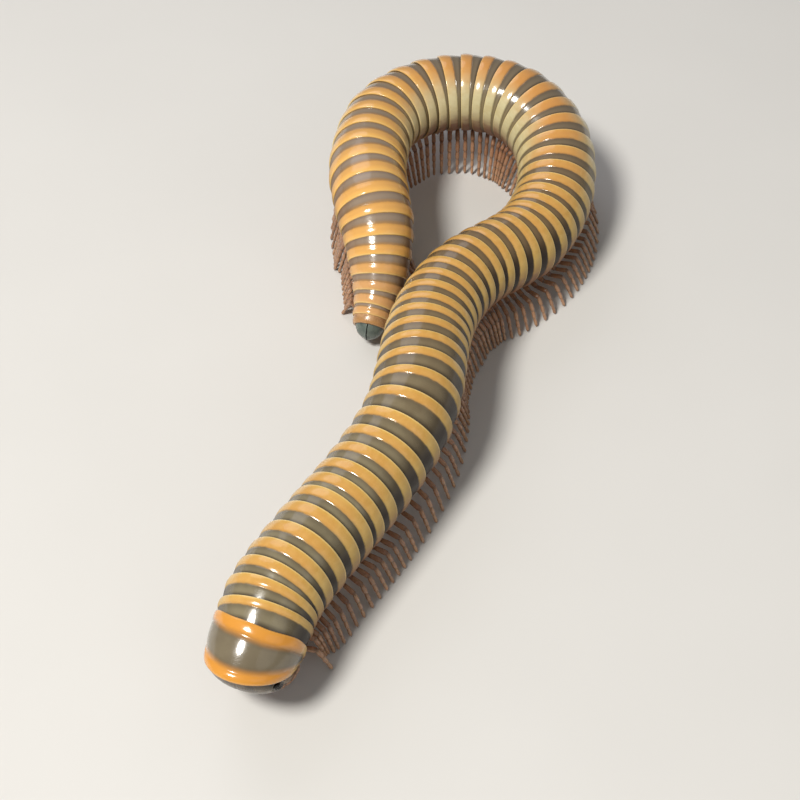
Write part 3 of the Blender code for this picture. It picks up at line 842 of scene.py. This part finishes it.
def neck(flesh):
    """The soft neck under the collum."""
    turns = np.linspace(0, 2 * pi, NECK_SIDES, endpoint=False)
    loops = []
    for along, share in NECK_OUTLINE:
        radius = share * body_radius(max(along, 0))
        loops.append([AXIS.around(along, turn, radius) for turn in turns])
    surface = Surface()
    surface.grid(loops, PLAIN, caps=True)
    surface.make("neck", flesh)


def head_frame():
    """(neck's point, out of the face, towards the animal's left, towards the top of the head)."""
    centre, tailward, left, back = AXIS.frame(NECK)
    forward = -tailward * cos(HEAD_NOD) - back * sin(HEAD_NOD)
    top = back * cos(HEAD_NOD) - tailward * sin(HEAD_NOD)
    return tuple(np.array(direction) for direction in (centre, forward, left, top))


HEAD = head_frame()


def head_place(sideways, height, depth):
    """Places on the head as points. Takes numbers or arrays."""
    centre, forward, left, top = HEAD
    offsets = np.stack(np.broadcast_arrays(sideways, height, depth + GAP), axis=-1)
    return centre + offsets @ np.array((left, top, forward))


def between(knots, wanted):
    """Values at the wanted places on smooth curves through a table of (place, values...)."""
    table = np.asarray(knots, float)
    places, wanted = table[:, 0], np.asarray(wanted, float)
    index = np.clip(np.searchsorted(places, wanted, side="right") - 1, 0, len(places) - 2)
    step = places[index + 1] - places[index]
    share = (wanted - places[index]) / step
    columns = []
    for values in table.T[1:]:
        slopes = np.gradient(values, places)
        a, b = values[index], values[index + 1]
        slope = slopes[index] * (1 - share) - slopes[index + 1] * share
        columns.append(a + (b - a) * smooth(0, 1, share) + step * slope * share * (1 - share))
    return columns


def section_line(half_width, above, below, squareness, turns):
    """(sideways, height) round one section of the head."""
    across, upward = np.sin(turns), np.cos(turns)
    share = (np.abs(across) ** squareness + np.abs(upward) ** squareness) ** (-1 / squareness)
    return across * share * half_width, upward * share * np.where(upward > 0, above, below)


def head_skin(turns):
    """Nets of sideways, height and depth of the head's skin, with rows from neck to mid-face."""
    rows = []
    back = np.linspace(BACK_DEPTH, BEND_DEPTH, BACK_ROWS)[:-1]
    depths = np.concatenate([back, np.linspace(BEND_DEPTH, FACE_DEPTH, BEND_ROWS)])
    for depth, *section in zip(depths, *between(HEAD_SECTIONS, depths)):
        rows.append((*section_line(*section, turns), np.full(len(turns), depth)))
    wide, high, _ = rows[-1]
    for share in np.linspace(1, FACE_HOLE, FACE_ROWS)[1:]:
        height = FACE_MIDDLE + (high - FACE_MIDDLE) * share
        depth = FACE_DEPTH + FACE_SWELL * (1 - share**2)
        rows.append((wide * share, height, np.full(len(turns), depth)))
    return np.moveaxis(np.array(rows), 1, 0)


def net_normals(points):
    """Directions square to a net of points, up to their sign. Its columns close on themselves."""
    down = np.gradient(points, axis=0)
    around = np.roll(points, -1, axis=1) - np.roll(points, 1, axis=1)
    normals = np.cross(around, down)
    return normals / np.maximum(np.linalg.norm(normals, axis=2, keepdims=True), 1e-9)


def eye_frame(side):
    """(middle of the eye, along the head, down the head, out of the eye)."""
    nearby = np.array([-0.05, 0, 0.05])
    rows = []
    for depth in EYE_DEPTH + nearby:
        section = between(HEAD_SECTIONS, depth)
        sideways, height = section_line(*section, side * EYE_TURN + nearby)
        rows.append(head_place(sideways, height, depth))
    outward = np.cross(rows[1][2] - rows[1][0], rows[2][1] - rows[0][1])
    outward = unit(outward) * side * np.sign(outward @ HEAD[2])
    down = unit(HEAD[3] - outward * (HEAD[3] @ outward))
    return rows[1][1] - outward * EYE_SUNK, np.cross(outward, down), down, outward


def face_relief(skin, places):
    """Height in mm of the grooves and rims of the head over its plain skin."""
    sideways, height, depth = skin
    front = smooth(*FRONT_FADE, depth)
    median = ridge(*MEDIAN_GROOVE, sideways)
    relief = median * smooth(*MEDIAN_HEIGHT, height) * smooth(*MEDIAN_DEPTH, depth)
    brow = ridge(*BROW_GROOVE, height - BROW_HEIGHT + BROW_CURVE * sideways**2)
    relief += brow * front * (1 - smooth(*BROW_ENDS, np.abs(sideways)))
    for place in PIT_PLACES:
        relief += ridge(*PIT, np.hypot(sideways - place, height - PIT_HEIGHT)) * front
    for side in (1, -1):
        reach = np.hypot(sideways - side * ANTENNA_PATH[0][0], height - ANTENNA_PATH[0][1])
        relief -= SOCKET_DEPTH * (1 - smooth(*SOCKET_EDGE, reach)) * front
        relief += ridge(*SOCKET_RIM, reach - SOCKET_RIM_REACH) * front
        middle, across, down, outward = eye_frame(side)
        offset = places - middle
        halves = EYE_SIZE[0] + EYE_BED, EYE_SIZE[1] + EYE_BED
        oval = np.hypot(offset @ across / halves[0], offset @ down / halves[1])
        near = offset @ outward > EYE_NEAR
        relief -= EYE_BED_DEPTH * (1 - smooth(*EYE_BED_EDGE, oval)) * near
        relief += ridge(*EYE_RIM, oval - EYE_RIM_REACH) * near
    return relief


def egg(surface, middle, directions, halves, marks=PLAIN, squareness=2, rows=20, columns=28):
    """A closed rounded piece with half sizes along three directions, first through its poles."""
    polar = np.linspace(POLE_GAP, pi - POLE_GAP, rows)[:, None]
    turn = np.linspace(0, 2 * pi, columns, endpoint=False)[None]
    shape = (np.cos(polar) + 0 * turn, np.sin(polar) * np.cos(turn), np.sin(polar) * np.sin(turn))
    size = sum(np.abs(part) ** squareness for part in shape) ** (-1 / squareness)
    points = middle + sum(
        np.multiply.outer(part * size * half, direction)
        for part, half, direction in zip(shape, halves, directions)
    )
    surface.grid(points, marks, caps=True, flip=np.linalg.det(np.array(directions)) < 0)


def tube(surface, path, thicknesses, marks, sides=14):
    """A closed tube round a path of points."""
    loops = []
    for place, heading, thickness in zip(path, np.gradient(path, axis=0), thicknesses):
        across = unit(np.cross(unit(heading), HEAD[1]))
        oval = circle(across, np.cross(across, unit(heading)), sides)
        loops.append(place + oval * thickness / 2)
    surface.grid(loops, marks, caps=True)


def mouthparts(surface):
    """The upper lip with its three teeth, the jaw plate, and the cheeks and palps on each side."""
    _, forward, left, top = HEAD
    shares = np.linspace(-1, 1, LIP_POINTS)
    height = LIP_HEIGHT + LIP_ARCH * shares**2 + ridge(*LIP_NOTCH, shares)
    thickness = LIP_THICKNESS - LIP_TAPER * shares**4 - ridge(*LIP_DIP, shares)
    lip = head_place(LIP_HALF_WIDTH * shares, height, LIP_DEPTH)
    tube(surface, lip, thickness, (0.75, 0.5, 0))
    for sideways, height in TEETH:
        tooth = head_place(sideways, height, TOOTH_DEPTH)
        egg(surface, tooth, (top, forward, left), TOOTH_SIZE, (0.2, 0.5, 0), rows=8, columns=10)
    egg(surface, head_place(*JAW_PLACE), (left, top, forward), JAW_SIZE, (0.35, 0.6, 0), 2.5)
    for side in (1, -1):
        directions = (top, forward, left * side)
        for (sideways, height, depth), halves, *rest in SIDE_PIECES:
            egg(surface, head_place(side * sideways, height, depth), directions, halves, *rest)


def head(plate):
    """The head, its face turned down to the floor. Its columns are closest over its top."""
    spread = np.linspace(-1, 1, HEAD_COLUMNS, endpoint=False)
    skin = head_skin(pi * np.sign(spread) * np.abs(spread) ** COLUMN_CROWDING)
    places = head_place(*skin)
    normals = net_normals(places)
    inside = places - head_place(*HEAD_MIDDLE)
    normals *= np.sign(np.sum(normals * inside, axis=2, keepdims=True))
    places = places + normals * face_relief(skin, places)[..., None]
    surface = Surface()
    surface.grid(places, (ramp(*LOW_EDGE, skin[1]), 0.5 + ramp(*LOW_TONE, skin[1]), 0), caps=True)
    mouthparts(surface)
    surface.make("head", plate, ["head"])


def eyes(black):
    """Fields of simple eyes on a low oval dome on each side of the head."""
    for side, name in ((1, "eye_left"), (-1, "eye_right")):
        middle, across, down, outward = eye_frame(side)
        directions = (outward, across, down)
        surface = Surface()
        egg(surface, middle, directions, (EYE_RISE, *EYE_SIZE[:2]), rows=24)
        for row in range(-LENS_COUNT, LENS_COUNT + 1):
            for column in range(-LENS_COUNT, LENS_COUNT + 1):
                a, b = LENS_STEP * (column + 0.5 * (row % 2)), LENS_ROW * LENS_STEP * row
                oval = hypot(a / LENS_FIELD[0], b / LENS_FIELD[1])
                if oval > LENS_LIMIT:
                    continue
                rise = EYE_RISE * sqrt(1 - oval**2)
                lens = middle + across * a + down * b + outward * rise
                egg(surface, lens, directions, LENS_SIZE, rows=8, columns=12)
        surface.make(name, black, [name])


def antennae(limb):
    """Feelers of seven pieces, folded down beside the head, with four small pegs at the tip."""
    across = HEAD[1]
    for side, name in ((1, "antenna_left"), (-1, "antenna_right")):
        path = [Vector(head_place(side * x, y, z)) for x, y, z in ANTENNA_PATH]
        curve = curve_through(path, ANTENNA_POINTS)
        surface = Surface()
        for rank, (start, end) in enumerate(pieces_of(curve, ANTENNA_JOINTS)):
            width = ANTENNA_WIDTHS[rank]
            limb_piece(surface, start, end, across, width, 0.1 * rank, ANTENNA_TONE)
        heading = unit(curve[-1] - curve[-4])
        aside = np.cross(heading, across)
        for number in range(PEGS):
            turn = 2 * pi * (number + 0.5) / PEGS
            reach = PEG_REACH * (cos(turn) * across + sin(turn) * aside)
            peg = curve[-1] + reach + heading * PEG_LIFT
            egg(surface, peg, (heading, across, aside), PEG_SIZE, rows=6, columns=8)
        surface.make(name, limb, [name], mark="limb")


def telson(start, brown):
    """The legless last ring of the body, a sleeve with a rounded rim."""
    radius = body_radius(start)
    turns = np.linspace(-pi, pi, TELSON_SIDES, endpoint=False)
    rows = []
    for behind, share in TELSON_OUTLINE:
        rows.append([AXIS.around(start + behind, turn, share * radius) for turn in turns])
    edge = ramp(*TELSON_EDGE, [behind for behind, _ in TELSON_OUTLINE])
    surface = Surface()
    surface.grid(rows, (edge[:, None], 0.5, 0), wrap_rows=True, flip=True)
    surface.make("telson", brown, ["telson"])


def valve_rim():
    """(outward, upward) round a valve: down its curved side, then back up its flat one."""
    turns = np.linspace(0, pi, VALVE_ARC)
    flat = np.linspace(-1, 1, VALVE_FLAT + 2)[1:-1]
    arc = [(sin(turn), cos(turn)) for turn in turns]
    return arc + [(0, height) for height in flat]


def valves(start, plate):
    """The two valves that close the tail end, with a ridge where they meet."""
    radius = body_radius(start)
    for side, name in ((1, "anal_valve_left"), (-1, "anal_valve_right")):
        rows = []
        for share in np.linspace(0, 1, VALVE_ROWS):
            angle = share * pi / 2
            width = VALVE_SIZE * radius * cos(angle * VALVE_CLOSED)
            place = start + VALVE_START + VALVE_LENGTH * sin(angle)
            centre, tailward, left, back = (np.array(item) for item in AXIS.frame(place))
            row = []
            for outward, upward in valve_rim():
                raised = ridge(*VALVE_RIDGE, outward * width) * smooth(*VALVE_RIDGE_START, share)
                aside = side * (VALVE_ASIDE + width * outward)
                row.append(centre + left * aside + back * (width * upward) + tailward * raised)
            rows.append(row)
        surface = Surface()
        surface.grid(rows, PLAIN, caps=True, flip=side < 0)
        surface.make(name, plate, [name])


def studio():
    """A pale floor and round soft lights, brightest from the upper left."""
    bpy.ops.mesh.primitive_plane_add(size=FLOOR_SIZE * MM)
    floor = bpy.context.object
    floor.name = "floor"
    floor.data.materials.append(floor_material())
    for name, place, size, power, colour in LIGHTS:
        data = bpy.data.lights.new(name, "AREA")
        data.shape, data.size, data.energy, data.color = "DISK", size * MM, power, colour
        aimed(name, data, place, (0, 0, 0))
    world = bpy.data.worlds.new("world")
    world.use_nodes = True
    background = world.node_tree.nodes["Background"]
    background.inputs["Color"].default_value = WORLD_COLOUR
    background.inputs["Strength"].default_value = WORLD_STRENGTH
    bpy.context.scene.world = world


def camera():
    """The photograph's view, from the head's end and above."""
    data = bpy.data.cameras.new("camera")
    data.sensor_fit = "HORIZONTAL"
    data.angle = VIEW_ANGLE
    data.clip_start = VIEW_NEAREST * MM
    back = Vector((0, -cos(VIEW_ELEVATION), sin(VIEW_ELEVATION)))
    place = Vector(VIEW_TARGET) + back * VIEW_DISTANCE
    bpy.context.scene.camera = aimed("camera", data, place, VIEW_TARGET)


def main():
    """Makes every piece, the floor, the light and the camera."""
    ends = ring_ends()
    shell = shell_material()
    limb = limb_material()
    face = plate_material("face", srgb(72, 62, 50), srgb(112, 98, 80))
    flesh = plate_material("flesh", srgb(92, 62, 48), srgb(140, 100, 78), 0.4)
    valve = plate_material("valve", srgb(84, 95, 90), srgb(103, 114, 107))
    brown = plate_material("tail_plate", srgb(162, 120, 80), srgb(198, 156, 112))
    trunk(ends, shell)
    legs(ends, limb)
    collum(shell)
    neck(flesh)
    head(face)
    eyes(eye_material())
    antennae(limb)
    telson(ends[-1], brown)
    valves(ends[-1], valve)
    studio()
    camera()
    bpy.context.scene.view_settings.view_transform = "Standard"


main()
